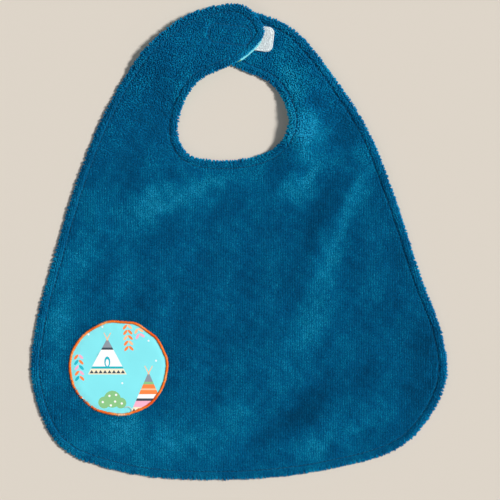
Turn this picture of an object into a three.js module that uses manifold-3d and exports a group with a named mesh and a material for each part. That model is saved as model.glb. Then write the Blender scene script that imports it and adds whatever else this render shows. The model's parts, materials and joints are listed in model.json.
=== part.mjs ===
// Terry bib with a hook-and-loop neck closure, lying flat with the closure fastened.
//
// Millimetres. +X is the bib's right as seen from above, +Y runs towards the neck, +Z is up.
// The terry face is up and the cotton face lies on z = 0.
//
// The cloth is drawn as flat layers. It is cut along the lines that it folds at, so that each
// stretch between two folds is a rigid body of its own: lower chest, upper chest, two straps and
// the closure tab, which is the last stretch of the left strap and lies over the right strap's end.

import * as THREE from 'three';
import { mergeVertices } from 'three/addons/utils/BufferGeometryUtils.js';
import Module from 'manifold-3d';

const wasm = await Module();
wasm.setup();

// ---------------------------------------------------------------- driving sizes

const foldY = -56; // the chest folds here, just above the patch
const shoulderY = 86; // the straps lift from this line
const tabX = -36; // the closure tab peels back from this line
const tabY = 121; // the closure tab is all above this line, and the right shoulder below it
const foldGap = 0.4; // slot between two stretches of cloth

const clearance = 0.3; // between two layers that rest on each other
const cottonThickness = 0.5;
const terryThickness = 2;
const rimRise = 1; // the turned seam allowance makes the edge this much thicker
const rimWidth = 4.7;
const threadInset = 5.1; // from the cloth's edge to the line of topstitching
const threadWidth = 1;
const threadThickness = 0.5;

const tapeWidth = 20;
const tapeThickness = 1.1;
const tapeAngle = THREE.MathUtils.degToRad(-7);
const tapeCentreY = 165; // where the tapes' centre line crosses x = 0
// Where each tape starts and ends along the centre line, from x = 0, and how round its corners are
const loopTapeSize = { start: -15, end: 27.5, corner: 5 };
const hookTapeSize = { start: -27, end: 12, corner: 9 };
const hookStitchInset = 2.5;
const loopStitchInset = 1.4;
const loopGrooveWidth = 1.4;
const loopGrooveDepth = 0.8;
const loopThreadThickness = 0.4;

const patchCentre = [-96.5, -100.5];
const patchRadii = [39.5, 38];
const patchThickness = 0.4;
const satinOverlap = 1.5; // the satin stitch starts this far inside the patch's edge
const satinWidth = 2.6;
const satinThickness = 0.9;
const patchSegments = 40;

// Heights of the layers above the cotton's underside
const terryBottom = cottonThickness + clearance;
const terryTop = terryBottom + terryThickness;
const rimTop = terryTop + rimRise;
const onTerry = terryTop + clearance;
const loopTapeTop = onTerry + tapeThickness;
const hookTapeBottom = loopTapeTop + clearance;
const tabLift = hookTapeBottom + tapeThickness + clearance; // the tab's cotton starts here

// The left strap climbs from the floor to the tab's height along this direction
const rampAngle = THREE.MathUtils.degToRad(50);
const rampSpan = [35, 74];
const rampSteps = 10;

const reach = 600; // longer than the bib, for cutting blocks
const tall = 30; // higher than any layer

// The bib's edge, clockwise from the hidden end of the right strap: down the right side, along
// the hem, up the left side, round the closure tab and back along the neck.
const edgePoints = [
  [-29, 164], [-17, 181], [8, 184], [28, 178], [46, 167.5], [84, 119],
  [106, 82], [124, 35], [147, -34], [161, -72], [164, -112], [134, -159],
  [68, -181], [-20, -189], [-96, -182], [-144, -161], [-165, -110], [-161, -63],
  [-148, -14], [-128, 52], [-104, 109], [-72, 157], [-34, 184], [4, 188],
  [19.5, 167], [5, 148], [-34, 128], [-50, 92], [-42, 71], [-5, 65],
  [30, 76], [40, 97], [27, 126], [-8, 144],
];
const stepsPerPoint = 5;
const mainEdge = [5.4, 31.6]; // chest and left strap: numbers of the first and last edge point
const rightEdge = [29, 41]; // right strap: it runs past the list's end, back to point 7

// ---------------------------------------------------------------- colours

const cloth = (name, color, roughness) => new THREE.MeshStandardMaterial({ name, color, roughness });
const terryCloth = cloth('terry', 0x0b5478, 1);
const cottonPrint = cloth('cotton_print', 0xa1e0e6, 0.85);
const tealThread = cloth('teal_thread', 0x1b6f92, 0.6);
const whiteThread = cloth('white_thread', 0xe6ecec, 0.6);
const satinThread = cloth('satin_thread', 0xf07a30, 0.45);
const loopTape = cloth('loop_tape', 0xdfe8ea, 0.95);
const hookTape = cloth('hook_tape', 0xe9eff0, 0.5);

// ---------------------------------------------------------------- solids

function solid(geometry) {
  const bare = geometry.clone();
  bare.deleteAttribute('normal');
  bare.deleteAttribute('uv');
  const merged = mergeVertices(bare, 1e-5);
  return new wasm.Manifold(new wasm.Mesh({
    numProp: 3,
    vertProperties: new Float32Array(merged.attributes.position.array),
    triVerts: new Uint32Array(merged.index.array),
  }));
}

function geometryOf(manifold) {
  const mesh = manifold.getMesh();
  const geometry = new THREE.BufferGeometry();
  geometry.setAttribute('position', new THREE.BufferAttribute(mesh.vertProperties, 3));
  geometry.setIndex(new THREE.BufferAttribute(mesh.triVerts, 1));
  geometry.computeVertexNormals();
  return geometry;
}

function piece(name, manifold, material) {
  const mesh = new THREE.Mesh(geometryOf(manifold), material);
  mesh.name = name;
  return mesh;
}

function prism(shape) {
  const geometry = new THREE.ExtrudeGeometry(shape, { depth: tall, bevelEnabled: false });
  return solid(geometry);
}

function block([x0, x1], [y0, y1], [z0, z1]) {
  const geometry = new THREE.BoxGeometry(x1 - x0, y1 - y0, z1 - z0);
  geometry.translate((x0 + x1) / 2, (y0 + y1) / 2, (z0 + z1) / 2);
  return solid(geometry);
}

// ---------------------------------------------------------------- how the cloth lies

// A layer that lies level, between two heights
function levelSheet(bottom, top) {
  return block([-reach, reach], [-reach, reach], [bottom, top]);
}

// A layer of the left strap and the tab, between two heights above the strap's underside
function rampSheet(bottom, top) {
  const [rampStart, rampEnd] = rampSpan;
  const underside = [[-reach, 0]];
  for (let step = 0; step <= rampSteps; step++) {
    const along = THREE.MathUtils.lerp(rampStart, rampEnd, step / rampSteps);
    underside.push([along, tabLift * THREE.MathUtils.smoothstep(along, rampStart, rampEnd)]);
  }
  underside.push([reach, tabLift]);
  const lower = underside.map(([along, height]) => new THREE.Vector2(along, height + bottom));
  const upper = underside.map(([along, height]) => new THREE.Vector2(along, height + top));
  const profile = new THREE.Shape([...lower, ...upper.reverse()]);
  const geometry = new THREE.ExtrudeGeometry(profile, { depth: 2 * reach, bevelEnabled: false });
  geometry.translate(0, 0, -reach);
  geometry.applyMatrix4(new THREE.Matrix4().makeBasis(
    new THREE.Vector3(Math.cos(rampAngle), Math.sin(rampAngle), 0),
    new THREE.Vector3(0, 0, 1),
    new THREE.Vector3(Math.sin(rampAngle), -Math.cos(rampAngle), 0),
  ));
  return solid(geometry);
}

// ---------------------------------------------------------------- the cloth's outline

const edge = new THREE.CatmullRomCurve3(
  edgePoints.map(([x, y]) => new THREE.Vector3(x, y, 0)), true, 'centripetal',
);

// A closed outline along one stretch of the edge, moved inwards by inset
function outline([first, last], inset) {
  const count = (last - first) * stepsPerPoint;
  const points = [];
  for (let step = 0; step <= count; step++) {
    const at = ((first + step / stepsPerPoint) / edgePoints.length) % 1;
    const point = edge.getPoint(at);
    const along = edge.getTangent(at);
    points.push(new THREE.Vector2(point.x + along.y * inset, point.y - along.x * inset));
  }
  return new THREE.Shape(points);
}

// A narrow strip that follows the edge between two edge points
function edgeStrip(first, last, inset, width) {
  const near = outline([first, last], inset).getPoints();
  const far = outline([first, last], inset + width).getPoints();
  return new THREE.Shape([...near, ...far.reverse()]);
}

// Each rigid stretch of cloth: its outline, how it lies, and the block that it is cut with
const half = foldGap / 2;
const everywhere = [-reach, reach];
const stretches = {
  chest_lower: {
    edge: mainEdge, sheet: levelSheet, x: everywhere, y: [-reach, foldY - half],
  },
  chest_upper: {
    edge: mainEdge, sheet: levelSheet, x: everywhere, y: [foldY + half, shoulderY - half],
  },
  left_strap: {
    edge: mainEdge, sheet: rampSheet, x: [-reach, tabX - half], y: [shoulderY + half, reach],
  },
  closure_tab: {
    edge: mainEdge, sheet: rampSheet, x: [tabX + half, reach], y: [tabY, reach],
  },
  right_strap: {
    edge: rightEdge, sheet: levelSheet, x: everywhere, y: [shoulderY + half, reach],
  },
};

const cutter = ({ x, y }) => block(x, y, [-tall, tall]);

// ---------------------------------------------------------------- cloth panels

function cottonPanel(stretch) {
  return prism(outline(stretch.edge, 0))
    .intersect(cutter(stretch))
    .intersect(stretch.sheet(0, cottonThickness));
}

function terryPanel(stretch) {
  const middle = prism(outline(stretch.edge, rimWidth)).intersect(stretch.sheet(terryTop, tall));
  return prism(outline(stretch.edge, 0))
    .intersect(cutter(stretch))
    .intersect(stretch.sheet(terryBottom, rimTop))
    .subtract(middle);
}

// ---------------------------------------------------------------- topstitching

// Each line of thread: the stretch that it is sewn to, and the edge points that it runs between
const topstitches = {
  topstitch_hem: ['chest_lower', 7, 19],
  topstitch_side_left: ['chest_upper', 16, 20],
  topstitch_side_right: ['chest_upper', 5, 9],
  topstitch_neck: ['chest_upper', 27, 31],
  topstitch_left_strap_outer: ['left_strap', 18, 23],
  topstitch_left_strap_inner: ['left_strap', 25, 29],
  topstitch_closure_tab: ['closure_tab', 21, 27],
  topstitch_right_strap: ['right_strap', 29, 41],
};

function topstitch(stretch, first, last) {
  return prism(edgeStrip(first, last, threadInset, threadWidth))
    .intersect(cutter(stretch))
    .intersect(stretch.sheet(onTerry, onTerry + threadThickness));
}

// ---------------------------------------------------------------- closure tapes

// A rounded rectangle on the tapes' centre line, with its outline moved inwards by inset
function tapeOutline(size, inset) {
  const left = size.start + inset;
  const right = size.end - inset;
  const side = tapeWidth / 2 - inset;
  const corner = size.corner - inset;
  const quarter = Math.PI / 2;
  const shape = new THREE.Shape();
  shape.absarc(right - corner, side - corner, corner, quarter, 0, true);
  shape.absarc(right - corner, corner - side, corner, 0, -quarter, true);
  shape.absarc(left + corner, corner - side, corner, -quarter, -2 * quarter, true);
  shape.absarc(left + corner, side - corner, corner, 2 * quarter, quarter, true);
  return shape;
}

function tapeSolid(shape, bottom, top) {
  const geometry = new THREE.ExtrudeGeometry(shape, {
    depth: top - bottom, bevelEnabled: false, curveSegments: 5,
  });
  geometry.rotateZ(tapeAngle);
  geometry.translate(0, tapeCentreY, bottom);
  return solid(geometry);
}

function tapeRing(size, inset, width, bottom, top) {
  const outer = tapeSolid(tapeOutline(size, inset), bottom, top);
  return outer.subtract(tapeSolid(tapeOutline(size, inset + width), bottom - 1, top + 1));
}

// The loop tape is sewn down in a groove, so that the thread stays below the loops
function loopTapeBody() {
  const grooveFloor = loopTapeTop - loopGrooveDepth;
  const groove = tapeRing(loopTapeSize, loopStitchInset, loopGrooveWidth, grooveFloor, loopTapeTop + 1);
  return tapeSolid(tapeOutline(loopTapeSize, 0), onTerry, loopTapeTop).subtract(groove);
}

function loopTapeStitching() {
  const bottom = loopTapeTop - loopGrooveDepth + clearance;
  const inset = loopStitchInset + clearance;
  const width = loopGrooveWidth - 2 * clearance;
  return tapeRing(loopTapeSize, inset, width, bottom, bottom + loopThreadThickness);
}

// The hook tape is under the tab, and its stitching shows as a box on the tab's terry face
function hookTapeStitching() {
  const bottom = tabLift + onTerry;
  return tapeRing(hookTapeSize, hookStitchInset, threadWidth, bottom, bottom + threadThickness);
}

// ---------------------------------------------------------------- patch

function ellipse(grow) {
  const [radiusX, radiusY] = patchRadii;
  const shape = new THREE.Shape();
  shape.absellipse(patchCentre[0], patchCentre[1], radiusX + grow, radiusY + grow, 0, 2 * Math.PI);
  return shape;
}

function raised(shape, bottom, top) {
  const geometry = new THREE.ExtrudeGeometry(shape, {
    depth: top - bottom, bevelEnabled: false, curveSegments: patchSegments,
  });
  geometry.translate(0, 0, bottom);
  return solid(geometry);
}

function patch() {
  return raised(ellipse(-satinOverlap - clearance), onTerry, onTerry + patchThickness);
}

function satinEdge() {
  const outer = raised(ellipse(satinWidth - satinOverlap), onTerry, onTerry + satinThickness);
  return outer.subtract(raised(ellipse(-satinOverlap), onTerry - 1, onTerry + tall));
}

// ---------------------------------------------------------------- the bib

const bib = new THREE.Group();
for (const [name, stretch] of Object.entries(stretches)) {
  bib.add(piece(`cotton_${name}`, cottonPanel(stretch), cottonPrint));
  bib.add(piece(`terry_${name}`, terryPanel(stretch), terryCloth));
}
for (const [name, [sewnTo, first, last]] of Object.entries(topstitches)) {
  bib.add(piece(name, topstitch(stretches[sewnTo], first, last), tealThread));
}
bib.add(piece('loop_tape', loopTapeBody(), loopTape));
bib.add(piece('loop_tape_stitching', loopTapeStitching(), whiteThread));
const hookTapeBody = tapeSolid(tapeOutline(hookTapeSize, 0), hookTapeBottom, hookTapeBottom + tapeThickness);
bib.add(piece('hook_tape', hookTapeBody, hookTape));
bib.add(piece('hook_tape_stitching', hookTapeStitching(), tealThread));
bib.add(piece('applique_patch', patch(), cottonPrint));
bib.add(piece('applique_satin_edge', satinEdge(), satinThread));

// The origin is under the middle of the bib's bounding box
const extent = new THREE.Box3().setFromObject(bib).getCenter(new THREE.Vector3());
bib.position.set(-extent.x, -extent.y, 0);

export default bib;
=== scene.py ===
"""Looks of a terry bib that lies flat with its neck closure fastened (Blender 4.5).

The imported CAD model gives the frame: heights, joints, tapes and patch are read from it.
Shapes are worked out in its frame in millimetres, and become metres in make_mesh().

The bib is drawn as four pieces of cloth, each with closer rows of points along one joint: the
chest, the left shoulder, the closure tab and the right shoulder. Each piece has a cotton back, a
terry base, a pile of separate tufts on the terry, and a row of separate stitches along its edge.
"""

import json
import math

import bpy
import numpy as np
from mathutils.geometry import delaunay_2d_cdt
from mathutils.kdtree import KDTree
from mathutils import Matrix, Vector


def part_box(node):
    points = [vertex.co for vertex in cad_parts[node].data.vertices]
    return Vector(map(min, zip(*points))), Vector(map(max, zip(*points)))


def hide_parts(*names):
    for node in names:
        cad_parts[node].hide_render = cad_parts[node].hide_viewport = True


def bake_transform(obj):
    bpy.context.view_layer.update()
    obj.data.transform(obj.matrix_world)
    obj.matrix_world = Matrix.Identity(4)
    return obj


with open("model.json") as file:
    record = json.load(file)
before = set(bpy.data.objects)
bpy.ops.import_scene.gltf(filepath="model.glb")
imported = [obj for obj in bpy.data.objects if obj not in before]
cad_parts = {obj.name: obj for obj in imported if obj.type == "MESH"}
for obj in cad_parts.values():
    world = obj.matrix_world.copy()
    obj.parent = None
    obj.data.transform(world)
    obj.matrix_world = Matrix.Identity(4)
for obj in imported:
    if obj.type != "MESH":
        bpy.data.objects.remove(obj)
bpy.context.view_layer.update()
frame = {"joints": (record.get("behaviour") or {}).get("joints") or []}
random = np.random.default_rng(7)

MM = 0.001

# ---------- sizes, in millimetres

CLOTH_STEP = 2.6  # between the vertices of a sheet of cloth
RIM_STEP = 1.4  # between them along the edge
BEND_STEP = 0.7  # between rows of them where the cloth bends across a joint
CHEST_BEND = 10  # how much of the cloth bends at each joint
SHOULDER_BEND = 24
TAB_BEND = 9
CUT_STEP = 0.4  # from a cut between two pieces of cloth to the row beside it
EDGE_SPACING = 0.25  # between the points that distances from the edge are measured to
RIM_INSET = 0.8  # from the CAD model's edge, which is about where the pile ends
STITCH_INSET = 5.0
STITCH_LENGTH = 2.9
STITCH_GAP = 0.5
SEAM_CLEARANCE = 0.75  # from the stitches to the nearest tufts
BOX_SEAM_WIDTH = 1.45  # how much wider the groove is over the hook tape, where no rim puffs up
COLUMN_STEP = 1.9  # between the terry's columns of loops
TUFT_STEP = 1.15  # between the loops of one column
TUFT_HEIGHT = 1.45
TUFT_DEPTH = 0.25  # how far its root goes into the ground
COTTON_THICKNESS = 0.3

# The bib's edge, clockwise from the hidden end of the right strap, as in the CAD part: down the
# right side, along the hem, up the left side, round the closure tab and back along the neck.
EDGE_POINTS = np.array([
    [-29, 164], [-17, 181], [8, 184], [28, 178], [46, 167.5], [84, 119],
    [106, 82], [124, 35], [147, -34], [161, -72], [164, -112], [134, -159],
    [68, -181], [-20, -189], [-96, -182], [-144, -161], [-165, -110], [-161, -63],
    [-148, -14], [-128, 52], [-104, 109], [-72, 157], [-34, 184], [4, 188],
    [19.5, 167], [5, 148], [-34, 128], [-50, 92], [-42, 71], [-5, 65],
    [30, 76], [40, 97], [27, 126], [-8, 144],
])
MAIN_EDGE = (5.4, 31.6)  # chest and left strap, counted in edge points
RIGHT_EDGE = (28.0, 42.0)  # right strap, past the list's end and on to point 8


# ---------- lines, and the cloth's edge


def unit(vectors):
    return vectors / np.linalg.norm(vectors, axis=-1, keepdims=True)


def distances_along(line):
    """How far along a line each of its points is."""
    return np.concatenate([[0], np.cumsum(np.linalg.norm(np.diff(line, axis=0), axis=1))])


def closed(line):
    return np.vstack([line, line[:1]])


def edge_curve(t):
    """Points and directions of the edge's closed centripetal spline, where t counts edge points."""
    t = np.asarray(t, float)
    start = np.floor(t).astype(int)
    part = (t - start)[:, None]
    p0, p1, p2, p3 = (EDGE_POINTS[(start + k) % len(EDGE_POINTS)] for k in (-1, 0, 1, 2))
    d0, d1, d2 = (
        np.sqrt(np.linalg.norm(b - a, axis=1))[:, None] for a, b in ((p0, p1), (p1, p2), (p2, p3))
    )
    leave = ((p1 - p0) / d0 - (p2 - p0) / (d0 + d1) + (p2 - p1) / d1) * d1
    arrive = ((p2 - p1) / d1 - (p3 - p1) / (d1 + d2) + (p3 - p2) / d2) * d1
    square = 3 * (p2 - p1) - 2 * leave - arrive
    cube = 2 * (p1 - p2) + leave + arrive
    points = p1 + leave * part + square * part**2 + cube * part**3
    ways = leave + 2 * square * part + 3 * cube * part**2
    return points, unit(ways)


def bounds_centre():
    """The middle of the CAD outline's box, which is sampled as in the CAD part."""
    t = np.concatenate([np.arange(*MAIN_EDGE, 0.2), np.arange(*RIGHT_EDGE, 0.2)])
    points = edge_curve(t)[0]
    return (points.min(0) + points.max(0)) / 2


EDGE_POINTS -= bounds_centre()


def rim(t):
    """Points of the sheets' edge, and the ways into the cloth there. The pile sticks out past it."""
    points, ways = edge_curve(t)
    inward = np.column_stack([ways[:, 1], -ways[:, 0]])
    return points + inward * RIM_INSET, inward


def edge_positions(first, last, spacing):
    """Positions t from first to last, evenly spaced along the edge, about spacing apart."""
    fine = np.linspace(first, last, 2000)
    along = distances_along(edge_curve(fine)[0])
    count = max(2, round(along[-1] / spacing))
    return np.interp(np.linspace(0, along[-1], count + 1), along, fine)


def edge_line(first, last, inset=0.0, spacing=RIM_STEP):
    points, inward = rim(edge_positions(first, last, spacing))
    return points + inward * inset


def straight_line(start, end, spacing=CLOTH_STEP):
    count = max(1, round(np.linalg.norm(end - start) / spacing))
    return start + (end - start) * np.linspace(0, 1, count + 1)[:, None]


def nearest(points, line):
    """For each point, the number of the line's nearest point, and how far away it is."""
    tree = KDTree(len(line))
    for number, (x, y) in enumerate(line):
        tree.insert((x, y, 0), number)
    tree.balance()
    found = [tree.find((x, y, 0))[1:] for x, y in points]
    index, distance = np.array(found).reshape(-1, 2).T
    return index.astype(int), distance


def inside(points, outline):
    """Which points are inside a closed outline."""
    result = np.zeros(len(points), bool)
    x, y = points[:, 0], points[:, 1]
    for (x0, y0), (x1, y1) in zip(outline, np.roll(outline, -1, axis=0), strict=True):
        if y0 != y1:
            crosses = (y0 > y) != (y1 > y)
            result ^= crosses & (x < x0 + (y - y0) * (x1 - x0) / (y1 - y0))
    return result


class Edge:
    """One stretch of the cloth's edge, for measuring how far inside it a point of the cloth is."""

    def __init__(self, first, last):
        self.t = edge_positions(first, last, EDGE_SPACING)
        self.line, self.inward = rim(self.t)

    def inset(self, points):
        return nearest(points, self.line)[1]


# ---------- how the cloth lies


def smoothstep(value, start, end):
    t = np.clip((value - start) / (end - start), 0, 1)
    return t * t * (3 - 2 * t)


def ridge(points, centre, angle, along, across, height):
    """A soft fold: a long hump with that half length and half width."""
    turn = math.radians(angle)
    offset = points - np.array(centre)
    u = offset @ np.array([math.cos(turn), math.sin(turn)])
    v = offset @ np.array([-math.sin(turn), math.cos(turn)])
    return height * np.exp(-0.5 * ((u / along) ** 2 + (v / across) ** 2))


# centre, angle, half length, half width and height of each soft fold of the cloth
FOLDS = [
    ((47, 94), 82, 25, 13, 9.5),  # the right strap stands up beside the neck
    ((-72, 44), 30, 34, 16, 2.6),
    ((-115, 20), -66, 13, 3.4, 1.5),  # a short crease on the left
    ((-20, 38), 12, 48, 13, 2.0),
    ((70, 10), 62, 62, 11, 2.4),
    ((104, 20), 66, 50, 9, 1.5),
    ((38, -70), 58, 55, 13, 2.0),
    ((96, -120), 30, 46, 13, 2.2),
    ((-20, -140), 8, 60, 12, 1.7),
    ((-60, -20), 80, 46, 16, 1.3),
    ((-80, 110), 62, 26, 12, 1.6),
    ((78, 120), -58, 26, 9, 1.3),
]


def joint_place(name):
    found = next(joint for joint in frame["joints"] if joint["name"] == name)
    return [x / MM for x in found["pos_m"]]


FLAT_SPAN = 18  # how far from the chest's joint the folds are flatter, so that it bends evenly
FLATTENING = 0.7


def drape(points):
    """How far the cloth's folds lift it off the surface that it lies on."""
    from_joint = (points[:, 1] - joint_place("chest_fold")[1]) / FLAT_SPAN
    flatter = 1 - FLATTENING * np.exp(-(from_joint**2))
    return sum(ridge(points, *fold) for fold in FOLDS) * flatter


TAB_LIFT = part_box("cotton_closure_tab")[0].z / MM
RAMP_WAY = np.array([math.cos(math.radians(50)), math.sin(math.radians(50))])
RAMP_SPAN = (35, 74)  # along that way
RAMP_START = (68, 92)  # up the bib, which keeps the chest level


def drape_over_strap(points):
    """The left strap climbs onto the right strap's end."""
    climb = smoothstep(points @ RAMP_WAY, *RAMP_SPAN) * smoothstep(points[:, 1], *RAMP_START)
    return drape(points) + TAB_LIFT * climb


# Heights across the cloth's edge: how far inside the edge, and how high the surface is there.
# The turned seam allowance makes a puffy rim, and the topstitching pulls a groove beside it.
TERRY_TOP = ([0, 0.3, 0.8, 1.6, 2.4, 3.2, 3.9, 4.5, 5.0, 5.5, 6.2, 7.5],
             [1.0, 1.6, 2.1, 2.45, 2.5, 2.3, 1.75, 1.2, 1.05, 1.2, 1.36, 1.4])
TERRY_UNDER = ([0, 1.2, 4.2, 5.0, 5.8], [0.8, 0.45, 0.45, 0.6, 0.45])
COTTON_UNDER = ([0, 0.4, 1.2, 2.2, 3.5, 4.4, 5.0, 5.6, 6.6],
                [0.4, 0.2, 0.03, 0.0, 0.03, 0.15, 0.22, 0.15, 0.03])
COTTON_TOP = (COTTON_UNDER[0], [low + COTTON_THICKNESS for low in COTTON_UNDER[1]])
RIM_INSETS = TERRY_TOP[0][1:]


def trace(edge_spans, corners):
    """A closed outline along spans of the edge and then to corners, joined by straight lines."""
    lines = [edge_line(*span) for span in edge_spans] + [corner[None] for corner in corners]
    parts = []
    for line, following in zip(lines, lines[1:] + lines[:1], strict=True):
        parts += [line[:-1], straight_line(line[-1], following[0])[:-1]]
    return np.vstack(parts)


class Cloth:
    """One piece of the bib: the spans of the edge and the other corners that it has, how it lies,
    the two bodies, which are not used, and where its bend across a joint starts and ends."""

    def __init__(self, name, edge_spans, corners, edge, lie, bodies, start, end):
        self.name = name
        self.outline = trace(edge_spans, corners)
        self.edge_spans, self.edge = edge_spans, edge
        self.lie = lie
        self.bodies, self.start, self.end = bodies, start, end
        self.bend = np.subtract(end, start)[:2]
        self.bend_length = np.linalg.norm(self.bend)

    def height(self, points, profile):
        return self.lie(points) + np.interp(self.edge.inset(points), *profile)

    def terry_top(self, points):
        return self.height(points, TERRY_TOP)

    def cotton_under(self, points):
        return self.height(points, COTTON_UNDER)

    def along_bend(self, points):
        """How far past the bend's start each point is, across the joint."""
        return (points - self.start[:2]) @ self.bend / self.bend_length

    def bend_rows(self):
        """Rows of points along the joint, close together where the cloth bends."""
        way = self.bend / self.bend_length
        reach = np.linalg.norm(self.outline, axis=1).max()
        past = np.arange(-BEND_STEP, self.bend_length + BEND_STEP, BEND_STEP)
        beside = np.arange(-reach, reach, CLOTH_STEP)
        shift = np.arange(len(past)) % 2 * CLOTH_STEP / 2
        sideways = np.array([-way[1], way[0]])
        rows = past[:, None, None] * way + (beside + shift[:, None])[:, :, None] * sideways
        return rows.reshape(-1, 2) + self.start[:2]

    def in_bend(self, points):
        half = self.bend_length / 2
        return abs(self.along_bend(points) - half) < half + 2 * BEND_STEP

    def bendable(self, shape):
        """A motif's outline, with closer points if it reaches over the bend."""
        whole = np.vstack([
            straight_line(a, b, BEND_STEP)[:-1]
            for a, b in zip(shape, np.roll(shape, -1, axis=0), strict=True)
        ])
        return whole if self.in_bend(whole).any() else shape

    def sew_on(self, piece, slot, *nodes):
        """Bakes a piece's transform into its mesh, and hides the CAD nodes that it stands for."""
        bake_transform(piece)
        if nodes:
            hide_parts(*nodes)
        return piece


def cut_cloth():
    """The four pieces. Each cut lies where both sides of it would follow the same body."""
    right_side, left_side, neck = 7.4, 18.4, 29.0
    tab_outer, tab_inner = 20.6, 26.5
    fold_y = joint_place("chest_fold")[1]
    shoulder_y = joint_place("left_strap_lift")[1]
    tab_x = joint_place("closure_peel")[0]
    right_end = right_side + len(EDGE_POINTS)
    right, left, low = rim([right_side, left_side, neck])[0]
    share = (right[0] - low[0]) / (right[0] - left[0])
    middle = right + (left - right) * share  # straight below the neck opening
    main = Edge(*MAIN_EDGE)
    return [
        Cloth("chest", [(right_side, left_side)], [middle], main, drape,
              ("chest_upper", "chest_lower"), (0, fold_y, 0), (0, fold_y - CHEST_BEND, 0)),
        Cloth("left_shoulder", [(left_side, tab_outer), (tab_inner, neck)], [middle], main,
              drape_over_strap, ("chest_upper", "left_strap"),
              (0, shoulder_y, 0), (0, shoulder_y + SHOULDER_BEND, 0)),
        Cloth("closure_tab", [(tab_outer, tab_inner)], [], main, drape_over_strap,
              ("left_strap", "closure_tab"), (tab_x, 0, 0), (tab_x + TAB_BEND, 0, 0)),
        Cloth("right_shoulder", [(neck, right_end)], [middle], Edge(*RIGHT_EDGE), drape,
              ("chest_upper", "right_strap"),
              (0, shoulder_y, 0), (0, shoulder_y + SHOULDER_BEND, 0)),
    ]


# ---------- meshes


def add_object(name, data):
    made = bpy.data.objects.new(name, data)
    bpy.context.scene.collection.objects.link(made)
    return made


def make_mesh(name, points, faces, material, **attributes):
    """A piece from points in millimetres and triangles, with named numbers for its points."""
    metres = (points * MM).astype(np.float32).ravel()
    faces = faces.astype(np.int32)
    mesh = bpy.data.meshes.new(name)
    mesh.vertices.add(len(points))
    mesh.vertices.foreach_set("co", metres)
    mesh.loops.add(faces.size)
    mesh.loops.foreach_set("vertex_index", faces.ravel())
    mesh.polygons.add(len(faces))
    mesh.polygons.foreach_set("loop_start", np.arange(0, faces.size, 3, dtype=np.int32))
    mesh.materials.append(material)
    rest = mesh.attributes.new("rest", "FLOAT_VECTOR", "POINT")
    rest.data.foreach_set("vector", metres)
    for key, values in attributes.items():
        layer = mesh.attributes.new(key, "FLOAT", "POINT")
        layer.data.foreach_set("value", np.asarray(values, np.float32))
    mesh.update()
    mesh.validate()
    mesh.shade_smooth()
    return add_object(name, mesh)


def triangulate(outline, extra, motifs=()):
    """Triangles of the area in an outline, through extra points, and each one's ink. Motifs are
    pairs of an ink and an outline of its own, and end where they cross the area's outline."""
    points = np.vstack([outline, extra, *(shape for _, shape in motifs)])
    faces = [list(range(len(outline)))]
    start = len(outline) + len(extra)
    for _, shape in motifs:
        faces.append(list(range(start, start + len(shape))))
        start += len(shape)
    made = delaunay_2d_cdt([tuple(p) for p in points], [], faces, 1, 1e-5)
    inks = [BLANK] + [ink for ink, _ in motifs]
    kept = [(face, inks[max(owners)]) for face, owners in zip(made[2], made[5], strict=True)
            if 0 in owners]
    used, triangles = np.unique([face for face, _ in kept], return_inverse=True)
    flat = np.array([tuple(v) for v in made[0]])[used]
    return flat, triangles.reshape(-1, 3), np.array([ink for _, ink in kept])


def lattice(outline, step):
    """Staggered points over an outline's box."""
    low, high = outline.min(0), outline.max(0)
    rows = np.arange(low[1], high[1], step * math.sqrt(3) / 2)
    columns = np.arange(low[0], high[0], step)
    x = columns[None] + (np.arange(len(rows)) % 2)[:, None] * step / 2
    y = np.repeat(rows[:, None], len(columns), axis=1)
    return np.column_stack([x.ravel(), y.ravel()])


def fill(outline, step, clearance):
    """Staggered points inside an outline and clear of it."""
    points = lattice(outline, step)
    points = points[inside(points, outline)]
    return points[nearest(points, outline)[1] > clearance]


def cloth_points(cloth):
    """Rows of points along the cloth's edge, close together where the rim is round, rows along
    its bend, a row just beside each cut, which keeps the shading even, and a lattice elsewhere."""
    rows = [
        edge_line(first, last, inset)
        for first, last in cloth.edge_spans
        for inset in RIM_INSETS
    ]
    middle = lattice(cloth.outline, CLOTH_STEP)
    middle = middle[inside(middle, cloth.outline)]
    middle = middle[cloth.edge.inset(middle) > RIM_INSETS[-1] + CLOTH_STEP / 2]
    middle = middle[~cloth.in_bend(middle)]
    points = np.vstack([*rows, middle, cloth.bend_rows()])
    points = points[inside(points, cloth.outline)]
    on_cut = cloth.edge.inset(cloth.outline) > 1
    points = points[nearest(points, cloth.outline[on_cut])[1] > CLOTH_STEP / 3]
    ways = unit(np.roll(cloth.outline, -1, axis=0) - np.roll(cloth.outline, 1, axis=0))
    beside = cloth.outline + CUT_STEP * np.column_stack([ways[:, 1], -ways[:, 0]])
    points = np.vstack([points, beside[on_cut]])
    return points[cloth.edge.inset(points) > RIM_INSETS[0] / 2]


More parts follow.
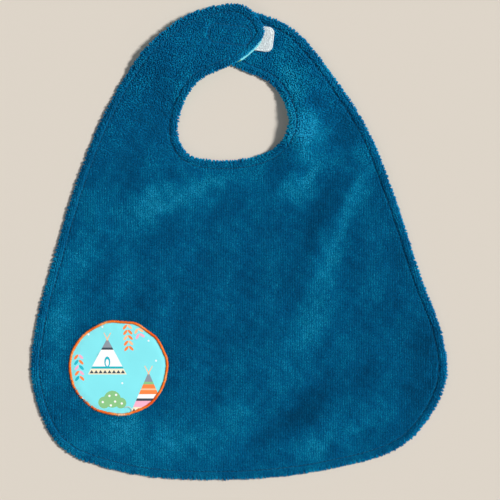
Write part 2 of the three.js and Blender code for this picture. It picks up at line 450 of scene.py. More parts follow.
def make_sheet(name, flat, triangles, top, under, inks, material, **attributes):
    """A closed piece with a top and an underside, and with walls between them all round."""
    count = len(flat)
    points = np.vstack([np.column_stack([flat, top]), np.column_stack([flat, under])])
    sides = np.vstack([triangles[:, [0, 1]], triangles[:, [1, 2]], triangles[:, [2, 0]]])
    keys = np.sort(sides, axis=1) @ np.array([count, 1])
    _, first, uses = np.unique(keys, return_index=True, return_counts=True)
    a, b = sides[first[uses == 1]].T
    walls = np.vstack([
        np.column_stack([b, a, a + count]),
        np.column_stack([b, a + count, b + count]),
    ])
    faces = np.vstack([triangles, triangles[:, ::-1] + count, walls])
    values = {key: np.full(len(points), value) for key, value in attributes.items()}
    piece = make_mesh(name, points, faces, material, **values)
    piece.data.polygons.foreach_set("use_smooth", np.arange(len(faces)) < 2 * len(triangles))
    layer = piece.data.attributes.new("ink", "FLOAT", "FACE")
    wall_inks = np.full(len(walls), BLANK)
    layer.data.foreach_set("value", np.concatenate([inks, inks, wall_inks]).astype(np.float32))
    return piece


def tubes(paths, radii, sides, across):
    """Points and triangles of round threads along paths of shape (count, stations, 3), each with
    closed ends. radii are per station. across is any direction that the paths don't follow."""
    count, stations = paths.shape[:2]
    along = unit(np.gradient(paths, axis=1))
    sideways = unit(np.cross(along, np.broadcast_to(across, (count, 1, 3))))
    upwards = np.cross(sideways, along)
    turn = np.arange(sides) * 2 * math.pi / sides
    ring = (
        sideways[:, :, None] * np.cos(turn)[:, None] + upwards[:, :, None] * np.sin(turn)[:, None]
    )
    points = paths[:, :, None] + ring * np.asarray(radii, float)[:, None, None]
    station, side = np.meshgrid(np.arange(stations - 1), np.arange(sides), indexing="ij")
    a = station * sides + side
    b = station * sides + (side + 1) % sides
    walls = np.concatenate([
        np.stack([a, a + sides, b], axis=-1), np.stack([b, a + sides, b + sides], axis=-1)
    ]).reshape(-1, 3)
    fan = np.array([[0, k, k + 1] for k in range(1, sides - 1)])
    far_end = fan[:, ::-1] + (stations - 1) * sides
    one = np.vstack([walls, fan, far_end])
    faces = one[None] + (np.arange(count) * stations * sides)[:, None, None]
    return points.reshape(-1, 3), faces.reshape(-1, 3)


def per_tube(values, stations, sides):
    """Repeats a value for each tube, or for each tube's station, on all of its points."""
    values = np.asarray(values, float)
    if values.ndim == 1:
        values = np.repeat(values[:, None], stations, axis=1)
    return np.repeat(values, sides, axis=1).ravel()


def join(*parts):
    """One list of points and one of triangles from several pairs of them."""
    starts = np.cumsum([0] + [len(points) for points, _ in parts[:-1]])
    return (
        np.vstack([points for points, _ in parts]),
        np.vstack([faces + start for (_, faces), start in zip(parts, starts, strict=True)]),
    )


def stitches_along(line, length=STITCH_LENGTH):
    """Flat paths of a row of stitches that follow a line, of shape (count, 5, 2)."""
    along = distances_along(line)
    count = max(1, round(along[-1] / (length + STITCH_GAP)))
    pitch = along[-1] / count
    one = np.linspace(STITCH_GAP / 2, pitch - STITCH_GAP / 2, 5)
    where = (np.arange(count) * pitch)[:, None] + one
    return np.stack([np.interp(where, along, line[:, k]) for k in (0, 1)], axis=-1)


def stitch_tubes(flat, surface, rise, radius, dip):
    """Stitches that rise above a surface, which is a function of flat points. Their ends sink by
    dip into what they are sewn through; a negative dip is upwards."""
    heights = surface(flat.reshape(-1, 2)).reshape(flat.shape[:2]) + rise
    sink = np.array([-1.0, -0.12, 0.0, -0.12, -1.0]) * dip
    paths = np.dstack([flat, heights + sink])
    return tubes(paths, np.array([0.55, 1, 1.05, 1, 0.55]) * radius, 6, (0, 0, 1.0))


# ---------- materials


def linear(code):
    """A colour's linear numbers from its sRGB code."""
    values = [int(code[k : k + 2], 16) / 255 for k in (0, 2, 4)]
    return [v / 12.92 if v <= 0.04045 else ((v + 0.055) / 1.055) ** 2.4 for v in values] + [1]


class Finish:
    """A material: its node tree and its main shader."""

    def __init__(self, name, roughness, specular=0.2, sheen=0.0, sheen_colour="ffffff"):
        self.material = bpy.data.materials.new(name)
        self.material.use_nodes = True
        self.tree = self.material.node_tree
        self.shader = self.tree.nodes["Principled BSDF"]
        self.set("Roughness", roughness)
        self.set("Specular IOR Level", specular)
        self.set("Sheen Weight", sheen)
        self.set("Sheen Roughness", 0.5)
        self.set("Sheen Tint", linear(sheen_colour))

    def connect(self, socket, value):
        """Gives a socket a number or a colour, or another node's output."""
        if isinstance(value, bpy.types.NodeSocket):
            self.tree.links.new(value, socket)
        else:
            socket.default_value = value

    def set(self, name, value):
        self.connect(self.shader.inputs[name], value)

    def node(self, kind, **values):
        """A new node, whose inputs are given as numbers, colours or other nodes' outputs."""
        made = self.tree.nodes.new("ShaderNode" + kind)
        for key, value in values.items():
            if hasattr(made, key):
                setattr(made, key, value)
            else:
                self.connect(made.inputs[key], value)
        return made

    def attribute(self, name, output="Fac"):
        return self.node("Attribute", attribute_name=name).outputs[output]

    def noise(self, scale):
        """Noise that is fixed to the unbent cloth. scale is in features per metre."""
        rest = self.attribute("rest", "Vector")
        return self.node("TexNoise", Vector=rest, Scale=scale, Detail=3.0).outputs["Fac"]

    def math(self, operation, *values):
        made = self.node("Math", operation=operation)
        for socket, value in zip(made.inputs, values, strict=False):
            self.connect(socket, value)
        return made.outputs[0]

    def ramp(self, factor, stops, steps=False):
        """Colours along a number. stops are (place, colour code)."""
        made = self.node("ValToRGB", Fac=factor)
        made.color_ramp.interpolation = "CONSTANT" if steps else "LINEAR"
        elements = made.color_ramp.elements
        while len(elements) < len(stops):
            elements.new(1)
        for element, (place, code) in zip(elements, stops, strict=True):
            element.position = place
            element.color = linear(code)
        return made.outputs["Color"]

    def flecked(self, name, scale, amount):
        """An attribute with fine noise added to it."""
        fleck = self.math("MULTIPLY_ADD", self.noise(scale), amount, -amount / 2)
        return self.math("ADD", self.attribute(name), fleck)

    def shaded(self, colour, amount):
        """A colour made darker or lighter by a number around 1."""
        made = self.node("VectorMath", operation="SCALE", Vector=colour, Scale=amount)
        return made.outputs[0]

    def bump(self, height, depth):
        """Fine relief. depth is in metres."""
        made = self.node("Bump", Height=height, Strength=1.0, Distance=depth)
        self.set("Normal", made.outputs[0])

    def weave(self, pitch):
        """Crossing threads, from 0 in the gaps to 1 on the threads. pitch is in metres."""
        rest = self.attribute("rest", "Vector")
        parts = self.node("SeparateXYZ", Vector=rest)
        waves = [
            self.math("SINE", self.math("MULTIPLY", parts.outputs[k], 2 * math.pi / pitch))
            for k in (0, 1)
        ]
        return self.math("MULTIPLY_ADD", self.math("MULTIPLY", *waves), 0.5, 0.5)


def pile_finish():
    """Teal pile: each tuft's own shade, with painted shade deep between the loops and painted light
    on their tips.
    """
    finish = Finish("terry_pile", roughness=0.95, specular=0.06, sheen=0.08, sheen_colour="5cc0e6")
    finish.set("Base Color", finish.ramp(finish.flecked("shade", 900, 0.16), [
        (0.0, "004a72"), (0.25, "00608f"), (0.45, "0072a8"), (0.75, "0a99c4"), (1.0, "24b2dc"),
    ]))
    return finish.material


def ground_finish():
    """The knitted ground under the pile."""
    finish = Finish("terry_ground", roughness=1.0, specular=0.1)
    finish.set("Base Color", finish.ramp(finish.noise(700), [(0.3, "00527e"), (0.7, "0070a0")]))
    finish.bump(finish.weave(0.0012), 0.0003)
    return finish.material


INKS = ["86ebf5", "ffffff", "8f9aa6", "ff8a48", "ffc79c", "f9b4cf", "18b9cf", "8cc98a", "f6efd2",
        "3f4b58"]
BLANK, WHITE, GREY, ORANGE, PEACH, PINK, TEAL, GREEN, CREAM, CHARCOAL = range(len(INKS))


def print_finish():
    """Printed cotton: each face's ink on a plain weave."""
    finish = Finish("printed_cotton", roughness=0.85, specular=0.2, sheen=0.1)
    stops = [(max(0, k - 0.5) / len(INKS), code) for k, code in enumerate(INKS)]
    ink = finish.ramp(finish.math("DIVIDE", finish.attribute("ink"), len(INKS)), stops, steps=True)
    weave = finish.weave(0.0009)
    threads = finish.math("MULTIPLY_ADD", weave, 0.06, 0.96)
    wear = finish.math("MULTIPLY_ADD", finish.noise(60), 0.1, 0.95)
    finish.set("Base Color", finish.shaded(ink, finish.math("MULTIPLY", threads, wear)))
    finish.bump(weave, 0.00005)
    return finish.material


def thread_finish(name, stops, roughness=0.55):
    """Twisted thread, whose colour follows the piece's tint attribute."""
    finish = Finish(name, roughness=roughness, specular=0.2)
    finish.set("Base Color", finish.ramp(finish.flecked("tint", 1500, 0.3), stops))
    finish.bump(finish.noise(2500), 0.0001)
    return finish.material


def tape_finish(name, dark, light, roughness):
    """Woven nylon tape, whose colour follows the piece's shade attribute."""
    finish = Finish(name, roughness=roughness, specular=0.3, sheen=0.15)
    tone = finish.flecked("shade", 800, 0.4)
    finish.set("Base Color", finish.ramp(tone, [(0.0, dark), (1.0, light)]))
    finish.bump(finish.weave(0.0011), 0.0001)
    return finish.material


PILE = pile_finish()
GROUND = ground_finish()
PRINT = print_finish()
TEAL_THREAD = thread_finish("teal_thread", [(0.2, "004a70"), (0.8, "0c74a0")])
WHITE_THREAD = thread_finish("white_thread", [(0.2, "d5dcde"), (0.8, "f4f7f7")])
SATIN = thread_finish(
    "satin_thread", [(0.0, "f4600f"), (0.45, "ff8228"), (0.7, "ffab68"), (1.0, "ffe4d0")], 0.45
)
LOOP_TAPE = tape_finish("loop_tape", "d3e2ea", "fbffff", 0.95)
HOOK_TAPE = tape_finish("hook_tape", "cdd6d8", "f0f4f4", 0.45)


# ---------- the printed motifs


def rotation(angle):
    turn = math.radians(angle)
    return np.array([[math.cos(turn), -math.sin(turn)], [math.sin(turn), math.cos(turn)]])


def ellipse(centre, radii, count, angle=0.0):
    """Points round an ellipse, anticlockwise."""
    turn = np.arange(count) * 2 * math.pi / count
    flat = np.column_stack([np.cos(turn) * radii[0], np.sin(turn) * radii[1]])
    return np.array(centre) + flat @ rotation(angle).T


def tent(width, height, bands):
    """A tent of bands, each from one part of its height to another, with a zigzag hem and poles."""
    shapes = []
    for low, high, ink in bands:
        wide, narrow = (width / 2 * (1 - part) for part in (low, high))
        floor_line, top_line = height * low, height * high
        shapes.append((ink, np.array([[-wide, floor_line], [wide, floor_line],
                                      [narrow, top_line], [-narrow, top_line]])))
    teeth = 8
    hem = width * 0.92 / teeth
    for k in range(teeth):
        left = (k - teeth / 2) * hem
        tooth = [[left, height * 0.03], [left + hem, height * 0.03],
                 [left + hem / 2, height * 0.12]]
        shapes.append((CHARCOAL, np.array(tooth)))
    for side in (-1, 1):
        pole = np.array([[-0.45, -1], [0.45, -1], [0.35, height * 0.2], [-0.35, height * 0.2]])
        shapes.append((PEACH, pole @ rotation(side * 28).T + (0, height * 0.97)))
    return shapes


def leaf_chain(inks, pairs):
    """Pairs of leaves that hang one below the other."""
    return [
        (inks[(k + side) % len(inks)],
         ellipse((side * 1.9, -4.3 * k), (2.5, 1.1), 12, -side * 48))
        for k in range(pairs)
        for side in (-1, 1)
    ]


def bush(ink, dot_ink, size):
    """A rounded bush with dots."""
    shapes = [
        (ink, ellipse((x * size, y * size), (r * size, r * size), 16))
        for x, y, r in ((-0.34, 0.24, 0.25), (0.36, 0.22, 0.23), (0.0, 0.38, 0.36))
    ]
    dots = ((-0.4, 0.26), (-0.12, 0.52), (0.12, 0.28), (0.4, 0.2), (-0.06, 0.12), (0.16, 0.56))
    for x, y in dots:
        shapes.append((dot_ink, ellipse((x * size, y * size), (0.05 * size, 0.05 * size), 8)))
    return shapes


def print_repeat():
    """One repeat of the print, as (ink, outline) around its centre, about 80 mm across."""
    plain = [(0, 0.16, CREAM), (0.16, 0.22, TEAL), (0.22, 0.68, WHITE), (0.68, 0.74, CHARCOAL),
             (0.74, 0.99, GREY)]
    striped = [(0, 0.15, CREAM), (0.15, 0.3, PINK), (0.3, 0.36, CHARCOAL), (0.36, 0.46, WHITE),
               (0.46, 0.56, ORANGE), (0.56, 0.6, PEACH), (0.6, 0.7, ORANGE), (0.7, 0.76, GREEN),
               (0.76, 0.99, GREY)]
    door = [(TEAL, ellipse((0, 10), (2.4, 4.4), 14)), (WHITE, ellipse((0, 9.4), (1.3, 2.9), 12))]
    dots = ((30, 6), (-24, 27), (-29, -24), (3, -12), (24, 22), (-13, 33))
    parts = [
        (tent(31, 29, plain) + door, (-9, -5), 0),
        (tent(29, 33, striped), (24, -36), 0),
        (leaf_chain((ORANGE, PEACH, ORANGE), 5), (7, 33), 4),
        (leaf_chain((PINK, PEACH), 2), (16, 30), 14),
        (leaf_chain((TEAL, PINK, ORANGE), 5), (-32, 9), 3),
        (bush(GREEN, WHITE, 19), (-5, -32), 0),
        *(([(WHITE, ellipse((0, 0), (0.8, 0.8), 8))], dot, 0) for dot in dots),
    ]
    return [
        (ink, outline @ rotation(angle).T + place)
        for shapes, place, angle in parts
        for ink, outline in shapes
    ]


def print_on(outline, centres):
    """The print's shapes around several centres, as far as they reach into an outline."""
    shapes = [(ink, shape + centre) for centre in centres for ink, shape in print_repeat()]
    middles = np.array([shape.mean(0) for _, shape in shapes])
    reach = [np.linalg.norm(shape - shape.mean(0), axis=1).max() for _, shape in shapes]
    near = inside(middles, outline) | (nearest(middles, outline)[1] < reach)
    return [shape for shape, close in zip(shapes, near, strict=True) if close]


def print_centres(outline, pitch=84):
    """Where the print repeats over the cotton: a brick pattern."""
    low, high = outline.min(0) - pitch, outline.max(0) + pitch
    rows = range(math.floor(low[1] / pitch), math.ceil(high[1] / pitch) + 1)
    columns = range(math.floor(low[0] / pitch), math.ceil(high[0] / pitch) + 1)
    return [((column + row % 2 / 2) * pitch, row * pitch) for row in rows for column in columns]


# ---------- sheets of cloth


def cloth_sheet(name, cloth, top, under, material, roll, motifs=()):
    """A closed sheet in a cloth's shape, between two height profiles."""
    shapes = [(ink, cloth.bendable(shape)) for ink, shape in motifs]
    flat, triangles, inks = triangulate(cloth.outline[::-1], cloth_points(cloth), shapes)
    high, low = cloth.height(flat, top), cloth.height(flat, under)
    return make_sheet(name, rolled(cloth, flat, roll), triangles, high, low, inks, material)


# ---------- pile, stitches and trimmings


def ripples(points, size, seed):
    """Smooth noise from about -1 to 1, whose features are about size across."""
    dice = np.random.default_rng(seed)
    total = np.zeros(len(points))
    for _ in range(7):
        turn, phase = dice.uniform(0, 2 * math.pi, 2)
        length = size * dice.uniform(0.7, 1.7)
        way = np.array([math.cos(turn), math.sin(turn)])
        total += np.sin(points @ way * 2 * math.pi / length + phase)
    return total / 3


# centre, angle, half length, half width and lightness of each band of painted nap light and shade
PAINTED_NAP_BANDS = [
    ((-54, 36), 18, 36, 9, 1.3),
    ((50, 93), -76, 24, 7, 1.3),
    ((53, 50), 37, 22, 7, 1.0),
    ((87, 22), 65, 36, 6, 0.9),
    ((65, -46), 78, 30, 8, 0.6),
    ((40, -88), 42, 28, 10, 0.6),
    ((-63, -160), -4, 44, 12, 1.0),
    ((-100, -146), -20, 14, 9, 0.8),
    ((0, -138), -15, 24, 10, 0.6),
    ((73, -158), 27, 32, 7, 0.9),
    ((40, -144), 40, 34, 8, -0.8),
    ((68, 22), 65, 26, 7, -0.5),
    ((81, 97), -55, 26, 12, -0.4),
    ((152, -103), 80, 45, 14, -0.4),
    ((-131, -22), 75, 50, 12, 0.5),
    ((-145, -80), 85, 30, 8, 0.5),
    ((-87, -18), 90, 22, 7, 0.35),
    ((-88, 90), 58, 50, 22, -0.3),
    ((45, 133), -27, 24, 6, 0.5),
]


# Painted light and shade of the brushed pile, as a tone: bands of painted sheen (positive) and
# painted shade (negative), warped a little, plus a random mottle
def painted_nap_shading(points):
    strayed = points + 5 * np.column_stack([ripples(points, 20, seed) for seed in (13, 14)])
    bands = sum(ridge(strayed, *band) for band in PAINTED_NAP_BANDS)
    mottle = sum(
        amount * ripples(points, size, seed)
        for amount, size, seed in ((0.22, 34, 1), (0.18, 11, 2), (0.12, 5, 15))
    )
    return bands + mottle


def nap_lean(points):
    x = 0.05 + 0.22 * ripples(points, 30, 3) + 0.16 * ripples(points, 9, 4)
    y = -0.15 + 0.22 * ripples(points, 34, 5) + 0.16 * ripples(points, 8, 6)
    return np.column_stack([x, y])


def tuft_lattice(outline):
    """Points in upright columns, which line up from piece to piece, and which are on a rib."""
    steps = (COLUMN_STEP / 2, TUFT_STEP)
    low = np.floor(outline.min(0) / steps)
    high = np.ceil(outline.max(0) / steps)
    column, row = np.meshgrid(np.arange(low[0], high[0]), np.arange(low[1], high[1]))
    spots = np.column_stack([column.ravel(), (row + column % 2 / 2).ravel()])
    return spots * steps, column.ravel() % 2 == 0


def slope(cloth, spots):
    """How steeply the cloth rises along x and y."""
    here = cloth.lie(spots)
    return np.column_stack([cloth.lie(spots + step) - here for step in ((1, 0), (0, 1))])


def tufts(bases, ways, lengths, radii):
    """Short three-sided tufts from their bases along unit directions, tipped a little sideways."""
    count = len(bases)
    parts = np.array([0, 0.55, 1])
    paths = bases[:, None] + ways[:, None] * (lengths[:, None] * parts)[:, :, None]
    paths[:, 2, :2] += random.normal(0, 0.3 * radii[0], (count, 2))
    across = random.normal(size=(count, 1, 3))
    return tubes(paths, radii, 3, across)


MOST_TUFTS = 14000  # in one piece
TUFT_RADII = (0.5, 0.66, 0.34)
# painted shade at each tuft's base and painted light at its tip, added to its tone
TUFT_PAINTED_SHADING = (-0.22, 0.0, 0.07)  # from its base to its tip
# How far inside the edge, and how far a tuft leans outwards there
RIM_LEAN = ([0, 0.8, 1.6, 2.4, 3.2, 4.1, 4.7, 5.5, 7.0],
            [1.7, 1.0, 0.5, 0.1, -0.2, -0.35, 0.0, 0.3, 0.0])
CLUMPS = (1.4, 4.2)  # the narrowest and the widest clump of tufts on the rim


def gather(cloth, index, inset):
    """At the rim the tufts gather into clumps: which way they lean, and how much longer they are."""
    along = index * EDGE_SPACING
    borders = np.cumsum(random.uniform(*CLUMPS, int(2 + along.max() / CLUMPS[0])))
    number = np.searchsorted(borders, along)
    middle = borders[number] - np.diff(borders, prepend=0)[number] / 2
    near_rim = 1 - smoothstep(inset, 0.4, 2.6)
    pull = (middle - along) * 0.4 * near_rim
    tangent = np.column_stack([-cloth.edge.inward[:, 1], cloth.edge.inward[:, 0]])[index]
    longer = random.uniform(0.0, 0.5, len(borders))[number]
    return tangent * pull[:, None], 1 + near_rim * longer


CURL_SPAN = (30, 100)  # up the bib, from combed ribs on the chest to curly pile on the straps


def curl(spots):
    return smoothstep(spots[:, 1], *CURL_SPAN)


def tuft_spots(cloth, covers, seams):
    """Where the tufts are, which of them are on a rib, and how far each is from a seam."""
    spots, on_rib = tuft_lattice(cloth.outline)
    spots += random.uniform(-1, 1, spots.shape) * (0.12 + 0.28 * curl(spots))[:, None]
    rims = np.vstack([edge_line(first, last, 0.25, 0.6) for first, last in cloth.edge_spans])
    spots = np.vstack([spots, rims])
    on_rib = np.concatenate([on_rib, np.ones(len(rims), bool)])
    from_seam = abs(cloth.edge.inset(spots) - STITCH_INSET)
    for seam in seams:
        from_seam = np.minimum(from_seam, nearest(spots, seam)[1] / BOX_SEAM_WIDTH)
    keep = inside(spots, cloth.outline) & (from_seam > SEAM_CLEARANCE)
    for cover in covers:
        keep &= ~inside(spots, cover)
    order = np.flatnonzero(keep)[np.argsort(spots[keep, 1])]
    return spots[order], on_rib[order], from_seam[order]


def make_pile(cloth, covers, seams):
    """The terry's tufts, apart from under the covers and along the seams."""
    spots, on_rib, from_seam = tuft_spots(cloth, covers, seams)
    index, inset = nearest(spots, cloth.edge.line)
    count = len(spots)
    # valley tufts, between the ribs, are shorter and get painted shade in their tone
    valley = np.where(on_rib, 0, 1 - curl(spots)) * smoothstep(inset, 5.5, 8)
    outwards = -cloth.edge.inward[index] * np.interp(inset, *RIM_LEAN)[:, None]
    gathered, longer = gather(cloth, index, inset)
    loose = random.normal(size=(count, 2)) * (0.12 + 0.14 * curl(spots))[:, None]
    lean = nap_lean(spots) + outwards + gathered + loose - slope(cloth, spots)
    ways = unit(np.column_stack([lean, np.interp(inset, [0, 1.5], [0.4, 1])]))
    beside_seam = np.interp(from_seam, [0.6, 1.4], [0.75, 1])
    lengths = (TUFT_HEIGHT + TUFT_DEPTH) * random.uniform(0.88, 1.12, count) * beside_seam * longer
    lengths *= (1 - 0.2 * valley) * (1 - 0.35 * peep(cloth, index, inset))
    bases = np.column_stack([rolled(cloth, spots, TERRY_ROLL), cloth.height(spots, TERRY_TOP)])
    bases[:, 2] -= TUFT_DEPTH
    # Each tuft's tone: painted nap sheen and shade, painted shade on the valley tufts between the
    # ribs, and a random part
    tones = 0.48 + 0.32 * painted_nap_shading(spots) - 0.2 * valley + random.normal(0, 0.07, count)
    pieces = []
    for number, part in enumerate(np.array_split(np.arange(count), 1 + count // MOST_TUFTS), 1):
        points, faces = tufts(bases[part], ways[part], lengths[part], TUFT_RADII)
        shade = per_tube(tones[part, None] + TUFT_PAINTED_SHADING, 3, 3)
        piece = make_mesh(f"{cloth.name}_pile_{number}", points, faces, PILE, shade=shade)
        pieces.append(cloth.sew_on(piece, "terry"))
    return pieces


COTTON_ROLL = 1.4  # how far each sheet's edge moves outwards where the cotton peeps out
TERRY_ROLL = -1.0


def peep(cloth, index, inset):
    """How much the cotton back peeps out, from 0 to 1: along a part of the tab's front rim."""
    t = cloth.edge.t[index]
    along = smoothstep(t, 23.9, 24.5) * (1 - smoothstep(t, 25.0, 25.5))
    return along * (1 - smoothstep(inset, 0, 8))


def rolled(cloth, flat, amount):
    """Moves the rim outwards by up to amount where the cotton peeps out."""
    index, inset = nearest(flat, cloth.edge.line)
    return flat - cloth.edge.inward[index] * (peep(cloth, index, inset) * amount)[:, None]


def make_stitches(name, parts, material, tone, seed):
    """A piece of stitches, whose shade varies along their thread."""
    points, faces = join(*parts)
    tint = tone + 0.25 * ripples(points[:, :2], 3, seed)
    return make_mesh(name, points, faces, material, tint=tint)


def make_topstitching(cloth, nodes):
    """Stitches inside the cloth's edge, seen on both faces."""
    parts = []
    for first, last in cloth.edge_spans:
        flat = stitches_along(edge_line(first, last, STITCH_INSET, 0.5))
        parts.append(stitch_tubes(flat, cloth.terry_top, rise=0.6, radius=0.36, dip=0.6))
        parts.append(stitch_tubes(flat, cloth.cotton_under, rise=0.02, radius=0.22, dip=-0.3))
    piece = make_stitches(cloth.name + "_topstitching", parts, TEAL_THREAD, tone=0.4, seed=7)
    return cloth.sew_on(piece, "teal_thread", *nodes)


def rounded_rectangle(centre, size, corner, angle, inset=0.0, spacing=0.5):
    """Points round a rectangle with round corners, anticlockwise."""
    half = np.array(size) / 2 - inset
    radius = corner - inset
    points = []
    for x, y, start in ((1, -1, -90), (1, 1, 0), (-1, 1, 90), (-1, -1, 180)):
        turn = np.radians(np.linspace(start, start + 90, 9))
        middle = np.array([x, y]) * (half - radius)
        points.append(middle + radius * np.column_stack([np.cos(turn), np.sin(turn)]))
    ring = closed(np.vstack(points) @ rotation(angle).T + centre)
    return np.vstack([
        straight_line(a, b, spacing)[:-1] for a, b in zip(ring, ring[1:], strict=False)
    ])


def plate(name, outline, top, under, material, step=2.5, motifs=(), **attributes):
    """A closed sheet in any outline. top and under give heights from flat points."""
    flat, triangles, inks = triangulate(outline, fill(outline, step, step / 3), motifs)
    return make_sheet(name, flat, triangles, top(flat), under(flat), inks, material, **attributes)


# ---------- the closure's two tapes

TAPE_ANGLE = -7
TAPE_WIDTH = 20
TAPE_SHAPES = {"loop_tape": (42.5, 5), "hook_tape": (39, 9)}  # length and corner radius
LOOP_STITCH_INSET = 1.4
HOOK_STITCH_INSET = 2.5
LOOP_TAPE_UNDER = 1.45  # heights over the strap's folds
LOOP_TAPE_TOP = 3.6
HOOK_TAPE_UNDER = 5.0


def box_centre(node):
    low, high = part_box(node)
    return np.array((low + high) / 2 / MM)[:2]


def box_radii(node):
    low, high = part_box(node)
    return np.array((high - low) / 2 / MM)[:2]


def tape_outline(name, inset=0.0):
    length, corner = TAPE_SHAPES[name]
    return rounded_rectangle(box_centre(name), (length, TAPE_WIDTH), corner, TAPE_ANGLE, inset)


def make_fuzz(outline, stitching, surface):
    """Brushed loops over a tape's surface, clear of its edge and its stitching."""
    step, from_stitches, from_edge = 0.56, 0.55, 0.3
    spots = lattice(outline, step)
    spots += random.uniform(-0.2, 0.2, spots.shape)
    spots = spots[inside(spots, outline)]
    clear = nearest(spots, stitching)[1] > from_stitches
    clear &= nearest(spots, outline)[1] > from_edge
    spots = spots[clear]
    ways = unit(np.column_stack([random.normal(0, 0.5, spots.shape), np.ones(len(spots))]))
    bases = np.column_stack([spots, surface(spots) - 0.1])
    lengths = random.uniform(0.55, 0.85, len(spots))
    points, faces = tufts(bases, ways, lengths, (0.22, 0.28, 0.16))
    tones = 0.66 + random.normal(0, 0.08, len(spots))
    # painted shade at each loop's base and painted light at its tip
    shade = per_tube(tones[:, None] + (-0.2, 0, 0.06), 3, 3)
    return make_mesh("loop_tape_fuzz", points, faces, LOOP_TAPE, shade=shade)


def make_loop_tape(cloth):
    """The soft tape on the right strap, brushed into fuzz inside its stitching."""
    outline = tape_outline("loop_tape")
    stitching = tape_outline("loop_tape", LOOP_STITCH_INSET)

    def top(flat):
        groove = 1 - smoothstep(nearest(flat, stitching)[1], 0.3, 0.9)
        rim = 1 - smoothstep(nearest(flat, outline)[1], 0, 0.5)
        return cloth.lie(flat) + LOOP_TAPE_TOP - 0.3 * groove - 0.2 * rim

    def under(flat):
        return cloth.lie(flat) + LOOP_TAPE_UNDER

    tape = plate("loop_tape_ground", outline, top, under, LOOP_TAPE, step=1.0, shade=0.35)
    fuzz = make_fuzz(outline, stitching, top)
    flat = stitches_along(closed(stitching), length=2.2)
    stitches = stitch_tubes(flat, top, rise=0.14, radius=0.22, dip=0.3)
    seam = make_stitches("loop_tape_stitches", [stitches], WHITE_THREAD, tone=0.5, seed=8)
    cloth.sew_on(tape, "loop_tape", "loop_tape")
    cloth.sew_on(fuzz, "loop_tape")
    cloth.sew_on(seam, "white_thread", "loop_tape_stitching")
    return outline, [tape, fuzz, seam]


# A hook's line, from its root down and round, as sideways and upwards, and its radii
HOOK = np.array([[0, 0.1], [0, -0.25], [0.04, -0.5], [0.22, -0.62], [0.4, -0.5], [0.44, -0.34]])
HOOK_RADII = (0.15, 0.13, 0.12, 0.12, 0.12, 0.09)


def make_hooks(outline, surface):
    """Rows of hooks under a tape, each of which points to either side."""
    spots = fill(outline, 1.25, 0.8)
    side = random.choice([-1, 1], len(spots))
    x = spots[:, :1] + side[:, None] * HOOK[:, 0]
    y = np.broadcast_to(spots[:, 1:], x.shape)
    z = surface(spots)[:, None] + HOOK[:, 1]
    points, faces = tubes(np.dstack([x, y, z]), HOOK_RADII, 4, (0, 1.0, 0))
    shade = 0.5 + 0.2 * ripples(points[:, :2], 4, 9)
    return make_mesh("hook_tape_hooks", points, faces, HOOK_TAPE, shade=shade)


def make_hook_tape(cloth):
    """The stiff tape under the closure tab, and the stitches that hold it."""
    outline = tape_outline("hook_tape")
    stitching = tape_outline("hook_tape", HOOK_STITCH_INSET)

    def top(flat):
        return drape(flat) + TAB_LIFT - 0.03

    def under(flat):
        return drape(flat) + HOOK_TAPE_UNDER

    tape = plate("hook_tape_ground", outline, top, under, HOOK_TAPE, step=2.0, shade=0.5)
    hooks = make_hooks(outline, under)
    flat = stitches_along(closed(stitching), length=2.6)
    above = stitch_tubes(flat, cloth.terry_top, rise=0.5, radius=0.34, dip=0.55)
    below = stitch_tubes(flat, under, rise=-0.05, radius=0.2, dip=-0.3)
    seam = make_stitches("hook_tape_stitches", [above, below], TEAL_THREAD, tone=0.45, seed=10)
    cloth.sew_on(tape, "hook_tape", "hook_tape")
    cloth.sew_on(hooks, "hook_tape")
    cloth.sew_on(seam, "teal_thread", "hook_tape_stitching")
    return stitching, [tape, hooks, seam]


# ---------- the patch

SATIN_WIDTH = 1.9
SATIN_STEP = 0.42
PATCH_RISE = 2.35  # from the cloth's folds to the top of its edge
PATCH_WOBBLE = 0.45  # how far its hand-guided edge strays from an ellipse


def patch_line(centre, radii, count):
    """The patch's edge, as so many points round it."""
    line = ellipse(centre, radii, count)
    outwards = (line - centre) / radii
    return line + PATCH_WOBBLE * ripples(line, 26, 16)[:, None] * outwards


def make_patch(cloth):
    """The printed patch on the chest, inside its edge of satin stitches."""
    centre = box_centre("applique_satin_edge")
    radii = box_radii("applique_satin_edge") - SATIN_WIDTH
    outline = patch_line(centre, radii, 180)

    def top(flat):
        inset = nearest(flat, outline)[1]
        way = flat - centre
        around = np.arctan2(way[:, 1], way[:, 0])
        pucker = 0.16 * np.sin(31 * around + 2 * np.sin(5 * around)) * np.exp(-inset / 3.5)
        soft = 0.12 * ripples(flat, 26, 11)
        return cloth.lie(flat) + PATCH_RISE + 0.55 * smoothstep(inset, 0, 5) + pucker + soft

    def under(flat):
        return top(flat) - COTTON_THICKNESS

    motifs = print_on(outline, [centre])
    patch = plate("patch_cotton", outline, top, under, PRINT, step=1.6, motifs=motifs)
    cloth.sew_on(patch, "cotton_print", "applique_patch")
    satin = make_satin_edge(cloth, centre, radii, top)
    return patch_line(centre, radii + SATIN_WIDTH * 0.25, 120), outline, patch, satin


def loose_end(centre, radii, patch_top):
    """The end of the satin thread, which curls over the patch from its lower edge."""
    root = np.array([9.6, -radii[1] + 0.4])
    curve = np.array([[0, 0], [1.2, 1.9], [1.1, 4.2], [-0.6, 5.8], [-2.9, 6.1], [-4.6, 5.0]])
    where = np.linspace(0, len(curve) - 1, 26)
    shape = np.column_stack([
        np.interp(where, np.arange(len(curve)), curve[:, k]) for k in (0, 1)
    ])
    for _ in range(3):
        shape[1:-1] = (shape[:-2] + 2 * shape[1:-1] + shape[2:]) / 4
    flat = centre + root + shape
    heights = patch_top(flat) + 0.3 + 0.9 * np.sin(np.linspace(0, math.pi, len(flat)))
    heights[0] = heights[1] + 0.3
    return tubes(np.column_stack([flat, heights])[None], np.full(len(flat), 0.24), 6, (0, 0, 1.0))


